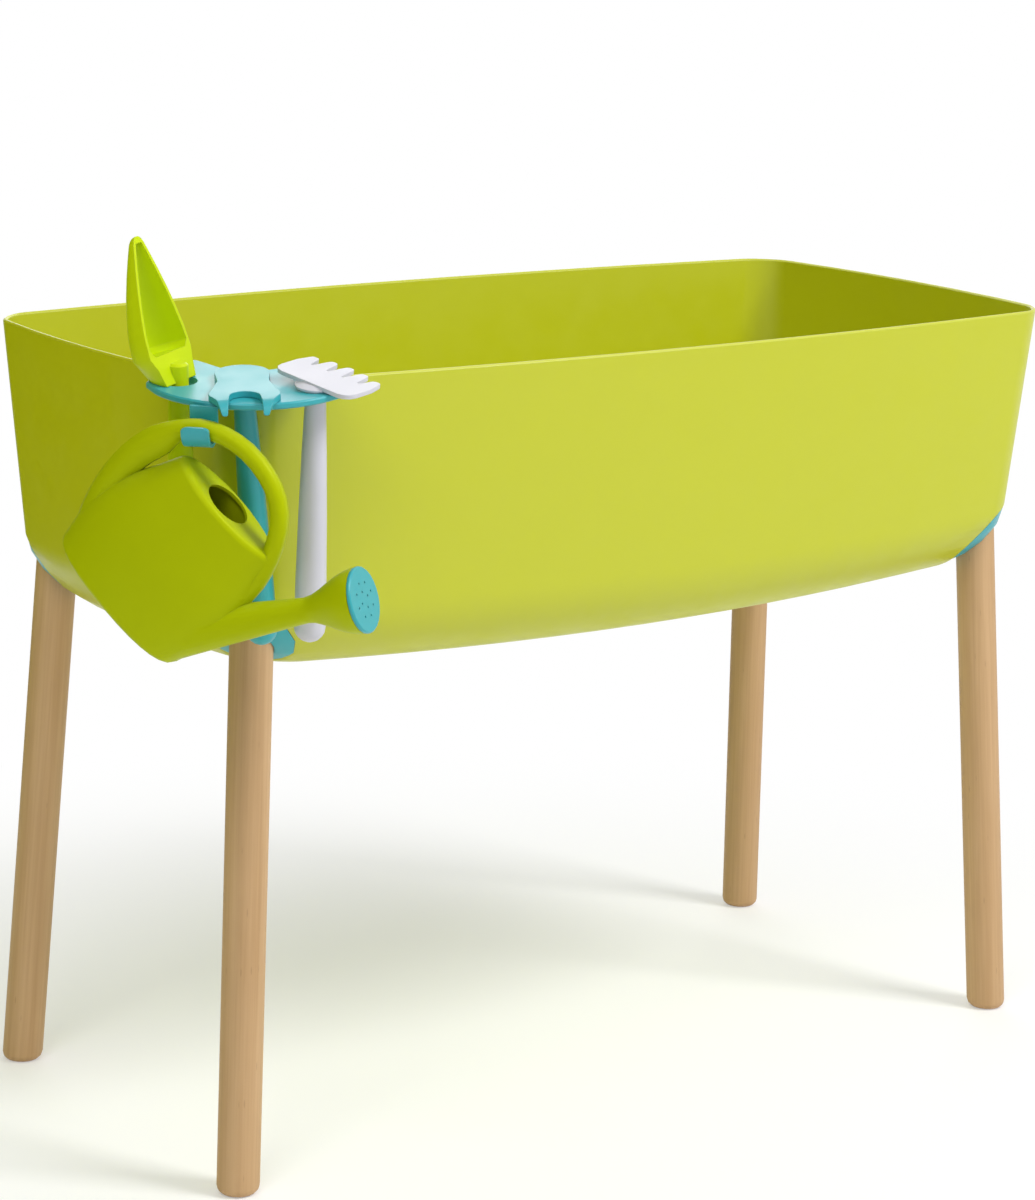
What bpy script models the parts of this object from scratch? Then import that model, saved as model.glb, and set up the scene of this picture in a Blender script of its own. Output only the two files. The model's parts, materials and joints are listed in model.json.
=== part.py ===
"""Grow table for children: a boat-shaped planter trough on four round wooden legs.

A tool holder hooks over one rim corner. Three hand tools stand in it and a watering can hangs from it.
Metres, +Z up, X along the trough, the front faces -Y. The object stands on Z = 0, centred on its footprint.
"""

import math

import bmesh
import bpy
from mathutils import Matrix, Vector

# Fits
SEAT_GAP = 0.0003          # between faces that rest on each other
SLIDE_GAP = 0.0004         # round pieces that are pushed together

# Trough
TROUGH_LENGTH = 0.765
TROUGH_WIDTH = 0.380
TROUGH_DEPTH = 0.2145
RIM_HEIGHT = 0.570
SIDE_BULGE = 0.021         # how far the long sides bow out between the corners
END_BULGE = 0.014
CORNER_RADIUS = 0.021
TROUGH_WALL = 0.0035
WALL_DRAFT = math.radians(3.9)
BOTTOM_RADIUS = 0.055
KEEL_RISE = 0.009          # how far the bottom climbs towards the ends
LIP_ROUND = 0.0012
SIDE_STEPS = 7             # facets on half a long side
END_STEPS = 3
CORNER_STEPS = 6
BOTTOM_STEPS = 6

# Cut bottom corners, sockets and legs
CUT_RISE = 0.053           # top of the corner cut above the trough's bottom
CUT_TILT = math.radians(43.0)
SOCKET_REVEAL = 0.0006     # the socket stands this far back from the hull's surface
SOCKET_FLOOR = 0.0025
SLEEVE_WALL = 0.0020
LEG_RADIUS = 0.0151
LEG_INSET = 0.0235         # leg axis in from the hull's corner, at the top of the cut
LEG_SPLAY = math.radians(4.35)
FOOT_ROUND = 0.006
TENON_RADIUS = 0.0095
TENON_LENGTH = 0.024
LEG_SIDES = 20

# Leg screws and their seals
SCREW_RADIUS = 0.0022
SCREW_LENGTH = 0.026
SCREW_HEAD_RADIUS = 0.0050
SCREW_HEAD_HEIGHT = 0.0030
SCREW_HEAD_EDGE = 0.0010     # height of the head's rim
SCREW_TOP_RADIUS = 0.0030
SEAL_RADIUS = 0.0070
SEAL_THICKNESS = 0.0015
SCREW_SIDES = 14

# Drain plug
DRAIN_RADIUS = 0.0085
PLUG_FLANGE_RADIUS = 0.0150
PLUG_FLANGE_HEIGHT = 0.0030
PLUG_STEM_PROUD = 0.0030   # stem above the trough's floor
PLUG_GRIP_RADIUS = 0.0060
PLUG_GRIP_HEIGHT = 0.0080

# Tool holder
HOLDER_TILT = math.radians(7.0)    # the plate falls outwards
PLATE_THICKNESS = 0.0045
PLATE_SPAN = 0.131         # tip to tip
PLATE_REACH = 0.057        # front edge out from the rim corner
PLATE_TIP_REACH = 0.018    # the tips, out from the rim corner
PLATE_SHIFT = 0.0085       # middle of the plate along its span from the rim corner
PLATE_EDGE_ROUND = 0.0010
TIP_FILLET = 0.007
CLIP_REACH = 0.036         # clip along each wall from the rim corner
CLIP_WALL = 0.0025
CLIP_DROP_INSIDE = 0.014
CLIP_DROP_OUTSIDE = 0.012
CLIP_COVER = 0.0015        # plate past the inner clip wall
CLIP_RISE_INSIDE = 0.0040  # clip walls end inside the plate, above the rim
CLIP_RISE_OUTSIDE = 0.0012
PLATE_STEPS = 18
TOOL_HOLE_RADIUS = 0.0125
TOOL_HOLE_PITCH = (0.0445, 0.0465)  # the trowel's and the rake's hole from the middle one
MIDDLE_HOLE_REACH = 0.019
OUTER_HOLE_REACH = 0.013
HOOK_WIDTH = 0.018
HOOK_THICKNESS = 0.0026
HOOK_SLOT = 0.022
HOOK_ALONG = -0.0085       # middle of the hook along the plate's span
HOOK_REACH = 0.0690        # middle of the hook's slot, out from the rim corner
HOOK_DEPTH = 0.0183        # floor of the slot below the plate's underside
HANG_HEIGHT = 0.0089       # middle of the arched grip above the hook's floor
LIP_BELOW = 0.0050         # top of the hook's lip below the plate's underside
LIP_CORNER = 0.0050
HOOK_STEPS = 12

# Tools
HANDLE_LENGTH = 0.177
NECK_RADIUS = 0.0068
NECK_ROUND = 0.0016
HANDLE_RADIUS = 0.0106
HANDLE_SIDES = 18

TROWEL_TURN = math.radians(-21.0)   # its open side, from the plate's span towards the front
TROWEL_CRANK = math.radians(18.0)
BLADE_LENGTH = 0.0905
BLADE_HALF_WIDTH = 0.0225
BLADE_DEPTH = 0.0260
BLADE_WALL = 0.0024
BLADE_SET_BACK = 0.0022    # open side of the scoop behind the handle
BLADE_FLOOR = 0.0130       # ledge at the bottom of the scoop
BLADE_HEEL_SHARE = 0.72    # size at the heel and the tip, of the widest
BLADE_HEEL_FLARE = 2.4
BLADE_TIP_SHARE = 0.17
BLADE_WIDEST = 0.2         # share of the length where it starts to narrow
BLADE_TAPER_POWER = 1.45
BLADE_TIP_ROUND = 0.05     # share of the length that is rounded off at the tip
BLADE_TIP_LEFT = 0.24      # share of its size that is left at the very tip
BLADE_FLOOR_ROUND = 0.05   # share of the length over which the scoop's floor rounds into its walls
BLADE_FLOOR_SHARE = 0.80
BLADE_HEEL_FRONT = 0.0028  # how far the heel's front stands out round the handle
BLADE_STEPS = 12

HOE_TURN = math.radians(-15.0)
HOE_LEAN = math.radians(-3.0)
HOE_THICKNESS = 0.0040
HOE_BACK = 0.037
HOE_BACK_RADIUS = 0.0180
HOE_WAIST = 0.0165
HOE_SHOULDER = 0.0235
HOE_SHOULDER_REACH = 0.030
HOE_SHOULDER_FILLET = 0.010
PRONG_REACH = 0.0505
PRONG_SPREAD = 0.0130
PRONG_TIP_RADIUS = 0.0016
ARCH_RADIUS = 0.0100
ARCH_REACH = 0.0340
ARCH_STEPS = 8
BEND_REACH = 0.0415
BEND_RADIUS = 0.0060
BEND_ANGLE = math.radians(70.0)
BEND_STEPS = 4

RAKE_TURN = math.radians(59.0)
RAKE_LEAN = math.radians(3.0)
RAKE_HEAD_TILT = math.radians(4.0)
RAKE_THICKNESS = 0.0028
RAKE_WIDTH = 0.066
RAKE_BACK = 0.0070
RAKE_CORNER = 0.009
RAKE_PALM = 0.0175
TINE_LENGTH = 0.0165
TINE_ARC = 0.0068          # how much shorter a tine at the head's very edge would be
TINE_COUNT = 5
TINE_GAP = 0.0018
TINE_TIP_SHARE = 0.50
RAKE_HEAD_LIFT = 0.0028
COLLAR_RADIUS = 0.0138
COLLAR_NECK_RADIUS = 0.0088

# Watering can, upright: X towards the spout, Z up, from the back corner of its base
CAN_LENGTH = 0.108
CAN_HEIGHT = 0.105
CAN_TOP_LENGTH = 0.090
CAN_TOP_START = 0.0165
CAN_BELLY = 0.009          # how far the body swells past its base, front and back
CAN_HALF_WIDTH = 0.0255
CAN_BELLY_WIDTH = 0.0035
CAN_TOP_HALF_WIDTH = 0.0215
CAN_EDGE_ROUND = 0.0040
CAN_BELLY_END = 0.893      # share of the height where the swell ends
CAN_LEAN_POWER = 1.6       # the ends lean in faster towards the top
CAN_FULLNESS = 0.85        # power of the oval at the base: below 1 is squarer than an ellipse
CAN_FULLNESS_GAIN = 0.25   # and how much it grows up to the top
CAN_WALL = 0.0022
CAN_SIDES = 28
FILLER_RADIUS = 0.0160
FILLER_PLACE = 0.0590      # middle of the filler hole along the can
GRIP_RADIUS = 0.0062
GRIP_SIDES = 10
GRIP_HOOKED = (0.0066, 0.0068)    # half thickness and half width where it hangs
# the grip's root up the body's back: (along, share of the can's height, half thickness, half width)
GRIP_ROOT = (
    (0.0060, 0.140, 0.0075, 0.0085),
    (0.0000, 0.300, 0.0090, 0.0090),
    (-0.0046, 0.480, 0.0096, 0.0090),
    (-0.0058, 0.640, 0.0102, 0.0090),
    (-0.0048, 0.790, 0.0106, 0.0085),
    (-0.0010, 0.938, 0.0106, 0.0080),
    (0.0028, 1.067, 0.0068, 0.0074),
)
# the grip's arch down to the body's front: (share of the can's length, height above the can's top)
GRIP_ARCH = (
    (0.241, 0.0287),
    (0.407, 0.0340),
    (0.583, 0.0335),
    (0.736, 0.0280),
    (0.861, 0.0160),
    (0.949, -0.0020),
    (1.000, -0.0210),
    (1.009, -0.0400),
)
SPOUT_ANGLE = math.radians(65.3)
SPOUT_LINE = 0.0968        # underside of the spout, square off from the base's back corner
SPOUT_START = 0.0527
SPOUT_END = 0.1887
SPOUT_ROOT_RADIUS = 0.0165
SPOUT_NECK_RADIUS = 0.0083
SPOUT_NECK = 0.1497
ROSE_RADIUS = 0.0215
SPOUT_WALL = 0.0020
ROSE_THICKNESS = 0.0025
ROSE_SPIGOT = 0.0040
ROSE_HOLE_RADIUS = 0.0009
ROSE_HOLES = ((0.0055, 4), (0.0115, 8))    # (circle's radius, holes on it)
ROSE_HOLE_SIDES = 6
ROSE_HOLE_TURN = math.radians(10.0)        # keeps the holes off the cap's facet edges
SPOUT_FLARE_POWER = 0.92
SPOUT_SIDES = 24
CAN_YAW = math.radians(-11.5)
CAN_PITCH = math.radians(45.0)
HOOKED_ALONG = 0.0117      # middle of the grip where it hangs, along the can and above its top
HOOKED_RISE = 0.0188

LIME = (0.47, 0.52, 0.015)
LEAF_GREEN = (0.33, 0.43, 0.010)
TEAL = (0.06, 0.34, 0.36)
WHITE = (0.80, 0.79, 0.84)
BEECH = (0.52, 0.34, 0.17)
STEEL = (0.55, 0.55, 0.56)
BLACK = (0.02, 0.02, 0.02)
SMOOTH_BELOW = math.radians(40.0)
SAME = 1e-6                # two lengths closer than this are one


def clear_scene():
    for old in list(bpy.data.objects):
        bpy.data.objects.remove(old, do_unlink=True)


def make_collection(name):
    collection = bpy.data.collections.new(name)
    bpy.context.scene.collection.children.link(collection)
    return collection


def material(name, colour, roughness=0.35, metallic=0.0):
    made = bpy.data.materials.new(name)
    made.use_nodes = True
    shader = made.node_tree.nodes["Principled BSDF"]
    shader.inputs["Base Color"].default_value = (*colour, 1.0)
    shader.inputs["Roughness"].default_value = roughness
    shader.inputs["Metallic"].default_value = metallic
    return made


clear_scene()
PARTS = make_collection("grow_table")
CUTTERS = make_collection("cutters")
ROOT = bpy.data.objects.new("grow_table_root", None)
PARTS.objects.link(ROOT)


def add_object(name, shape, matrix, finish=None):
    """A visible part when it has a finish, otherwise a hidden cutter."""
    mesh = bpy.data.meshes.new(name)
    shape.to_mesh(mesh)
    shape.free()
    made = bpy.data.objects.new(name, mesh)
    if finish:
        mesh.materials.append(finish)
        PARTS.objects.link(made)
    else:
        CUTTERS.objects.link(made)
        made.hide_render = True
        made.display_type = "WIRE"
    made.parent = ROOT
    made.matrix_local = matrix
    mesh.shade_smooth()
    mesh.set_sharp_from_angle(angle=SMOOTH_BELOW)
    return made


def boolean(target, operation, other):
    step = target.modifiers.new(f"{operation.lower()} {other.name}", "BOOLEAN")
    step.operation = operation
    step.solver = "EXACT"
    step.object = other


def loft(rings):
    """A closed solid through rings of equally many points."""
    shape = bmesh.new()
    loops = [[shape.verts.new(point) for point in ring] for ring in rings]
    count = len(loops[0])
    for lower, upper in zip(loops, loops[1:]):
        for i in range(count):
            j = (i + 1) % count
            shape.faces.new((lower[i], lower[j], upper[j], upper[i]))
    shape.faces.new(loops[0])
    shape.faces.new(loops[-1])
    bmesh.ops.recalc_face_normals(shape, faces=shape.faces)
    return shape


def turned(profile, sides):
    """A solid turned about Z from (radius, height) pairs that start and end on the axis, or form a loop."""
    shape = bmesh.new()
    points = [shape.verts.new((radius, 0.0, height)) for radius, height in profile]
    edges = [shape.edges.new(pair) for pair in zip(points, points[1:])]
    bmesh.ops.spin(
        shape,
        geom=points + edges,
        cent=(0.0, 0.0, 0.0),
        axis=(0.0, 0.0, 1.0),
        angle=math.tau,
        steps=sides,
        use_merge=True,
    )
    bmesh.ops.remove_doubles(shape, verts=shape.verts, dist=SAME)
    bmesh.ops.recalc_face_normals(shape, faces=shape.faces)
    return shape


def prism(outline, low, high):
    """A flat outline in XY, extruded between two heights."""
    return loft([[(x, y, low) for x, y in outline], [(x, y, high) for x, y in outline]])


def arc(centre, radius, start, end, steps):
    angles = [start + (end - start) * i / steps for i in range(steps + 1)]
    return [(centre[0] + radius * math.cos(a), centre[1] + radius * math.sin(a)) for a in angles]


def filleted(corners, steps=4):
    """Outline through (x, y, fillet radius) corners."""
    outline = []
    for i, (x, y, radius) in enumerate(corners):
        here = Vector((x, y))
        if radius == 0.0:
            outline.append((x, y))
            continue
        before = (Vector(corners[i - 1][:2]) - here).normalized()
        after = (Vector(corners[(i + 1) % len(corners)][:2]) - here).normalized()
        half = before.angle(after) / 2
        centre = here + (before + after).normalized() * radius / math.sin(half)
        reach = radius / math.tan(half)
        first = here + before * reach - centre
        turn = first.angle_signed(here + after * reach - centre)
        for k in range(steps + 1):
            spoke = first.copy()
            spoke.rotate(Matrix.Rotation(-turn * k / steps, 2))
            outline.append(tuple(centre + spoke))
    return outline


# Trough
RIM_CORNER = Vector((TROUGH_LENGTH / 2 - END_BULGE, TROUGH_WIDTH / 2 - SIDE_BULGE))


def wall_inset(height):
    """How far the drafted wall lies inside the rim line at this height."""
    return (RIM_HEIGHT - height) * math.tan(WALL_DRAFT)


def end_wall(inset, y):
    """Point of an end wall's plan line at this Y."""
    corner_y = TROUGH_WIDTH / 2 - inset - SIDE_BULGE
    return Vector((TROUGH_LENGTH / 2 - inset - END_BULGE * (y / corner_y) ** 2, y))


def side_wall(inset, x):
    """Point of a long side's plan line at this X."""
    corner_x = TROUGH_LENGTH / 2 - inset - END_BULGE
    return Vector((x, TROUGH_WIDTH / 2 - inset - SIDE_BULGE * (x / corner_x) ** 2))


def plan_quarter(inset, radius, end_reach=None, side_reach=None):
    """Plan outline round one corner, from the end wall to the long side.

    It runs from the end's middle to the side's middle, or as far along each wall as the reaches say.
    """
    corner = RIM_CORNER - Vector((inset, inset))
    end_slope = Vector((-2 * END_BULGE / corner.y, 1.0)).normalized()
    side_slope = Vector((1.0, -2 * SIDE_BULGE / corner.x)).normalized()
    turn = math.pi - end_slope.angle(-side_slope)
    tangent = radius * math.tan(turn / 2)
    handle = 4 / 3 * math.tan(turn / 4) * radius
    first = end_wall(inset, corner.y - tangent * end_slope.y)
    last = side_wall(inset, corner.x - tangent * side_slope.x)
    start = 0.0 if end_reach is None else first.y - end_reach
    stop = 0.0 if side_reach is None else last.x - side_reach
    end_steps = END_STEPS if end_reach is None else 1
    side_steps = SIDE_STEPS if side_reach is None else 1
    points = [end_wall(inset, start + (first.y - start) * i / end_steps) for i in range(end_steps)]
    second = first + end_slope * handle
    third = last + side_slope * handle
    for i in range(CORNER_STEPS + 1):
        t = i / CORNER_STEPS
        u = 1 - t
        points.append(u**3 * first + 3 * u * u * t * second + 3 * u * t * t * third + t**3 * last)
    for i in range(1, side_steps + 1):
        points.append(side_wall(inset, last.x + (stop - last.x) * i / side_steps))
    return points


def plan_ring(inset, radius):
    quarter = plan_quarter(inset, radius)
    ring = [(p.x, p.y) for p in quarter]
    ring += [(-p.x, p.y) for p in reversed(quarter[:-1])]
    ring += [(-p.x, -p.y) for p in quarter[1:]]
    ring += [(p.x, -p.y) for p in reversed(quarter[1:-1])]
    return ring


def bowed(x, y, z):
    """The hull's bottom climbs towards the ends; the rim stays level."""
    rise = KEEL_RISE * (2 * x / TROUGH_LENGTH) ** 2
    return Vector((x, y, z + rise * (RIM_HEIGHT - z) / TROUGH_DEPTH))


def hull_ring(inset, height, radius, share=1.0):
    return [bowed(share * x, share * y, height) for x, y in plan_ring(inset, radius)]


def hull(shrink, rim):
    """The trough's form, shrunk by a wall, from its bottom up to the (inset, height) pairs of its rim."""
    radius = BOTTOM_RADIUS - shrink
    floor = RIM_HEIGHT - TROUGH_DEPTH + shrink
    middle = floor + radius
    wall_foot = middle - radius * math.sin(WALL_DRAFT)
    centre = wall_inset(wall_foot) + shrink + radius * math.cos(WALL_DRAFT)
    plan_radius = CORNER_RADIUS - shrink
    rings = [hull_ring(centre, floor, plan_radius, share) for share in (0.04, 0.36, 0.70)]
    for i in range(BOTTOM_STEPS + 1):
        angle = math.pi / 2 + (WALL_DRAFT - math.pi / 2) * i / BOTTOM_STEPS
        inset = centre - radius * math.cos(angle)
        rings.append(hull_ring(inset, middle - radius * math.sin(angle), plan_radius))
    for inset, height in rim:
        rings.append(hull_ring(inset, height, plan_radius))
    return loft(rings)


LIP_HEIGHT = RIM_HEIGHT - LIP_ROUND
OUTER_RIM = [(wall_inset(LIP_HEIGHT), LIP_HEIGHT), (LIP_ROUND, RIM_HEIGHT)]
INNER_RIM = [
    (wall_inset(LIP_HEIGHT) + TROUGH_WALL, LIP_HEIGHT),
    (TROUGH_WALL - LIP_ROUND, RIM_HEIGHT),
    (TROUGH_WALL - LIP_ROUND, RIM_HEIGHT + TROUGH_WALL),
]
TROUGH_FLOOR = RIM_HEIGHT - TROUGH_DEPTH

# Corners: every corner has its own frame, at the top of its cut, with X out along the diagonal
CUT_HEIGHT = TROUGH_FLOOR + CUT_RISE
_middle = plan_quarter(wall_inset(CUT_HEIGHT), CORNER_RADIUS)[END_STEPS + CORNER_STEPS // 2]
CUT_TOP = bowed(_middle.x, _middle.y, CUT_HEIGHT)
CORNERS = {"front_left": (-1, -1), "front_right": (1, -1), "back_left": (-1, 1), "back_right": (1, 1)}


def corner_frame(side_x, side_y):
    place = Matrix.Translation((side_x * CUT_TOP.x, side_y * CUT_TOP.y, CUT_TOP.z))
    return place @ Matrix.Rotation(math.atan2(side_y, side_x), 4, "Z")


LEG_FRAME = Matrix.Translation((-LEG_INSET, 0.0, 0.0)) @ Matrix.Rotation(-LEG_SPLAY, 4, "Y")
CUT_NORMAL = Vector((math.cos(CUT_TILT), 0.0, -math.sin(CUT_TILT)))
UP = Vector((0.0, 0.0, 1.0))


def plane_in_leg(normal, offset):
    """A plane of the corner frame as (normal, distance) in the leg's own frame."""
    turned_normal = LEG_FRAME.to_3x3().transposed() @ normal
    return turned_normal, offset - normal.dot(LEG_FRAME.translation)


FLOOR_PLANE = plane_in_leg(UP, -CUT_TOP.z)


def cut_plane(offset):
    return plane_in_leg(CUT_NORMAL, offset)


def level(height):
    return UP, height


def leg_ring(radius, plane, lift=0.0):
    """A ring round the leg's axis whose points lie on a plane, raised by a lift."""
    normal, distance = plane
    ring = []
    for i in range(LEG_SIDES):
        x = radius * math.cos(math.tau * i / LEG_SIDES)
        y = radius * math.sin(math.tau * i / LEG_SIDES)
        ring.append((x, y, (distance - normal.x * x - normal.y * y) / normal.z + lift))
    return ring


def on_axis(plane):
    return plane[1] / plane[0].z


# Along the leg's axis, from the mitred shoulder upwards
SHOULDER_OFFSET = 2 * SEAT_GAP + SOCKET_FLOOR
TENON_TOP = on_axis(cut_plane(SHOULDER_OFFSET)) + TENON_LENGTH
SLEEVE_TOP = TENON_TOP + SEAT_GAP + SOCKET_FLOOR
BORE_TOP = SLEEVE_TOP + SEAT_GAP
BOSS_TOP = BORE_TOP + TROUGH_WALL
SLEEVE_RADIUS = TENON_RADIUS + SLIDE_GAP + SLEEVE_WALL
BORE_RADIUS = SLEEVE_RADIUS + SLIDE_GAP
BOSS_RADIUS = BORE_RADIUS + TROUGH_WALL
SEAL_FOOT = BOSS_TOP + SEAT_GAP
HEAD_FOOT = SEAL_FOOT + SEAL_THICKNESS + SEAT_GAP
SCREW_TIP = HEAD_FOOT - SCREW_LENGTH
SCREW_HOLE_RADIUS = SCREW_RADIUS + SLIDE_GAP
BEYOND = 0.100             # cutters reach this far past what they cut
BLOCK_SIDE = 0.150


def cut_block(offset):
    """A block that holds everything beyond the corner's cut plane."""
    shape = bmesh.new()
    bmesh.ops.create_cube(shape, size=1.0)
    to_plane = Matrix.Rotation(math.pi / 2 + CUT_TILT, 4, "Y")
    size = Matrix.Diagonal((BLOCK_SIDE, BLOCK_SIDE, BEYOND, 1.0))
    place = Matrix.Translation((0.0, 0.0, offset + BEYOND / 2))
    bmesh.ops.transform(shape, matrix=to_plane @ place @ size, verts=shape.verts)
    return shape


def leg_shape(grow):
    """The leg with its mitred shoulder, its tenon and the screw's pilot hole; grown, it cuts the socket."""
    radius = LEG_RADIUS + grow
    tenon = TENON_RADIUS + grow
    shoulder = cut_plane(SHOULDER_OFFSET - min(grow, SEAT_GAP))
    rings = []
    for i in range(4):
        angle = math.pi / 2 * (1 - i / 3)
        inward = FOOT_ROUND * (1 - math.cos(angle))
        rings.append(leg_ring(radius - inward, FLOOR_PLANE, FOOT_ROUND * (1 - math.sin(angle))))
    rings.append(leg_ring(radius, shoulder))
    rings.append(leg_ring(tenon, shoulder))
    top = TENON_TOP + min(grow, SEAT_GAP)
    rings.append(leg_ring(tenon, level(top)))
    if grow == 0.0:
        rings.append(leg_ring(SCREW_HOLE_RADIUS, level(top)))
        rings.append(leg_ring(SCREW_HOLE_RADIUS, level(SCREW_TIP - SLIDE_GAP)))
    return loft(rings)


def build_trough(lime):
    here = Matrix.Identity(4)
    trough = add_object("trough", hull(0.0, OUTER_RIM), here, lime)
    inside = add_object("trough_inside", hull(TROUGH_WALL, INNER_RIM), here)
    for name, sides in CORNERS.items():
        frame = corner_frame(*sides)
        leg_frame = frame @ LEG_FRAME
        boolean(trough, "DIFFERENCE", add_object(f"cut_{name}", cut_block(0.0), frame))
        boolean(inside, "DIFFERENCE", add_object(f"cut_wall_{name}", cut_block(-TROUGH_WALL), frame))
        boss = loft([leg_ring(BOSS_RADIUS, cut_plane(0.0)), leg_ring(BOSS_RADIUS, level(BOSS_TOP))])
        boolean(inside, "DIFFERENCE", add_object(f"boss_{name}", boss, leg_frame))
    boolean(trough, "DIFFERENCE", inside)
    for name, sides in CORNERS.items():
        leg_frame = corner_frame(*sides) @ LEG_FRAME
        bore = loft([
            leg_ring(BORE_RADIUS, cut_plane(BEYOND / 4)),
            leg_ring(BORE_RADIUS, level(BORE_TOP)),
            leg_ring(SCREW_HOLE_RADIUS, level(BORE_TOP)),
            leg_ring(SCREW_HOLE_RADIUS, level(BOSS_TOP + TROUGH_WALL)),
        ])
        boolean(trough, "DIFFERENCE", add_object(f"bore_{name}", bore, leg_frame))
    drain = turned(
        [
            (0.0, TROUGH_FLOOR + 2 * TROUGH_WALL),
            (DRAIN_RADIUS, TROUGH_FLOOR + 2 * TROUGH_WALL),
            (DRAIN_RADIUS, TROUGH_FLOOR - TROUGH_WALL),
            (0.0, TROUGH_FLOOR - TROUGH_WALL),
        ],
        LEG_SIDES,
    )
    boolean(trough, "DIFFERENCE", add_object("drain_hole", drain, here))


def build_corner(name, sides, teal, wood, steel, rubber):
    frame = corner_frame(*sides)
    leg_frame = frame @ LEG_FRAME
    socket = add_object(f"leg_socket_{name}", cut_block(SEAT_GAP), frame, teal)
    rim = [(wall_inset(RIM_HEIGHT) + SOCKET_REVEAL, RIM_HEIGHT)]
    form = add_object(f"socket_form_{name}", hull(SOCKET_REVEAL, rim), Matrix.Identity(4))
    boolean(socket, "INTERSECT", form)
    sleeve = loft([
        leg_ring(SLEEVE_RADIUS, cut_plane(SEAT_GAP + SOCKET_FLOOR / 2)),
        leg_ring(SLEEVE_RADIUS, level(SLEEVE_TOP)),
    ])
    boolean(socket, "UNION", add_object(f"sleeve_{name}", sleeve, leg_frame))
    boolean(socket, "DIFFERENCE", add_object(f"leg_room_{name}", leg_shape(SLIDE_GAP), leg_frame))
    hole = loft([
        leg_ring(SCREW_HOLE_RADIUS, level(TENON_TOP - SEAT_GAP)),
        leg_ring(SCREW_HOLE_RADIUS, level(BORE_TOP)),
    ])
    boolean(socket, "DIFFERENCE", add_object(f"screw_hole_{name}", hole, leg_frame))
    add_object(f"leg_{name}", leg_shape(0.0), leg_frame, wood)
    screw = turned(
        [
            (0.0, HEAD_FOOT + SCREW_HEAD_HEIGHT),
            (SCREW_TOP_RADIUS, HEAD_FOOT + SCREW_HEAD_HEIGHT),
            (SCREW_HEAD_RADIUS, HEAD_FOOT + SCREW_HEAD_EDGE),
            (SCREW_HEAD_RADIUS, HEAD_FOOT),
            (SCREW_RADIUS, HEAD_FOOT),
            (SCREW_RADIUS, SCREW_TIP + 2 * SCREW_RADIUS),
            (0.0, SCREW_TIP),
        ],
        SCREW_SIDES,
    )
    add_object(f"leg_screw_{name}", screw, leg_frame, steel)
    seal_top = SEAL_FOOT + SEAL_THICKNESS
    seal = turned(
        [
            (SCREW_HOLE_RADIUS, seal_top),
            (SEAL_RADIUS, seal_top),
            (SEAL_RADIUS, SEAL_FOOT),
            (SCREW_HOLE_RADIUS, SEAL_FOOT),
            (SCREW_HOLE_RADIUS, seal_top),
        ],
        SCREW_SIDES,
    )
    add_object(f"screw_seal_{name}", seal, leg_frame, rubber)


def build_drain_plug(teal):
    stem_top = TROUGH_FLOOR + TROUGH_WALL + PLUG_STEM_PROUD
    flange_top = TROUGH_FLOOR - SEAT_GAP
    flange_foot = flange_top - PLUG_FLANGE_HEIGHT
    stem = DRAIN_RADIUS - SLIDE_GAP
    profile = [
        (0.0, stem_top),
        (stem - PLUG_STEM_PROUD / 3, stem_top),
        (stem, stem_top - PLUG_STEM_PROUD / 2),
        (stem, flange_top),
        (PLUG_FLANGE_RADIUS, flange_top),
        (PLUG_FLANGE_RADIUS, flange_foot),
        (PLUG_GRIP_RADIUS, flange_foot),
        (PLUG_GRIP_RADIUS, flange_foot - PLUG_GRIP_HEIGHT),
        (0.0, flange_foot - PLUG_GRIP_HEIGHT),
    ]
    add_object("drain_plug", turned(profile, LEG_SIDES), Matrix.Identity(4), teal)


# Tool holder: its frame stands on the rim corner, X along the plate's span, Y towards the trough
HOLDER_FRAME = (
    Matrix.Translation((-RIM_CORNER.x, -RIM_CORNER.y, RIM_HEIGHT))
    @ Matrix.Rotation(math.radians(-45.0), 4, "Z")
    @ Matrix.Rotation(HOLDER_TILT, 4, "X")
)
TO_HOLDER = HOLDER_FRAME.inverted()
_apex = plan_quarter(0.0, CORNER_RADIUS)[END_STEPS + CORNER_STEPS // 2]
PLATE_FOOT = (TO_HOLDER @ Vector((-_apex.x, -_apex.y, RIM_HEIGHT))).z + SEAT_GAP
PLATE_TOP = PLATE_FOOT + PLATE_THICKNESS


def corner_strip(inset, height, radius):
    """Points along the wall round the front left corner, from the end wall to the front wall."""
    points = plan_quarter(inset, radius, CLIP_REACH, CLIP_REACH)
    return [Vector((-p.x, -p.y, height)) for p in points]


def clip_wall(near, far, low, high):
    """A wall that follows the trough's corner between two insets, from one height to another."""
    rings = []
    for height in (low, high):
        drafted = wall_inset(height)
        outer = corner_strip(drafted + near, height, CORNER_RADIUS - near)
        inner = corner_strip(drafted + far, height, CORNER_RADIUS - far)
        rings.append([TO_HOLDER @ p for p in outer + inner[::-1]])
    return loft(rings)


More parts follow.
